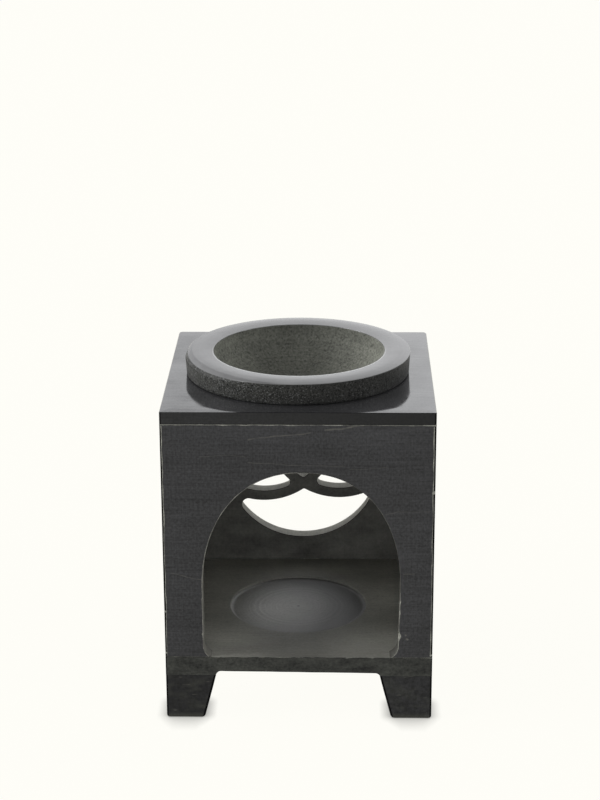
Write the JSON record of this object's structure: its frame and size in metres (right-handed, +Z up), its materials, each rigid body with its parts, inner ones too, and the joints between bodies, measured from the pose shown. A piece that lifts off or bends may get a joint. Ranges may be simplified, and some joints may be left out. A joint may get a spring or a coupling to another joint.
{
  "type": "oil burner",
  "caption": "Square soapstone oil burner with an arched front, a pierced lotus roundel at the back, block feet, and a loose oil dish that hangs in its top slab.",
  "frame": {"origin": "middle of the base, in the plane that the feet stand on", "axes": "+Z up; -Y towards someone who faces the arched front; +X to their right"},
  "size_m": [0.08, 0.08, 0.105],
  "materials": {
    "panel_stone": "satin, with faint level striations and thin cream veins",
    "foot_stone": "satin, smooth sawn blocks",
    "plate_stone": "satin, mottled grey-green",
    "slab_stone": "polished",
    "dish_stone": "turned matte, with a smooth rim"
  },
  "bodies": {
    "burner": {"base_plate": "plate_stone", "foot_front_left": "foot_stone", "foot_front_right": "foot_stone", "foot_back_left": "foot_stone", "foot_back_right": "foot_stone", "front_panel": "panel_stone", "back_panel": "panel_stone", "left_panel": "panel_stone", "right_panel": "panel_stone", "top_slab": "slab_stone"},
    "dish": {"oil_dish": "dish_stone"}
  },
  "joints": [
    {"name": "dish_lift", "type": "slide", "parent": "burner", "child": "dish", "axis": [0, 0, 1], "range_m": [0, 0.05]}
  ]
}
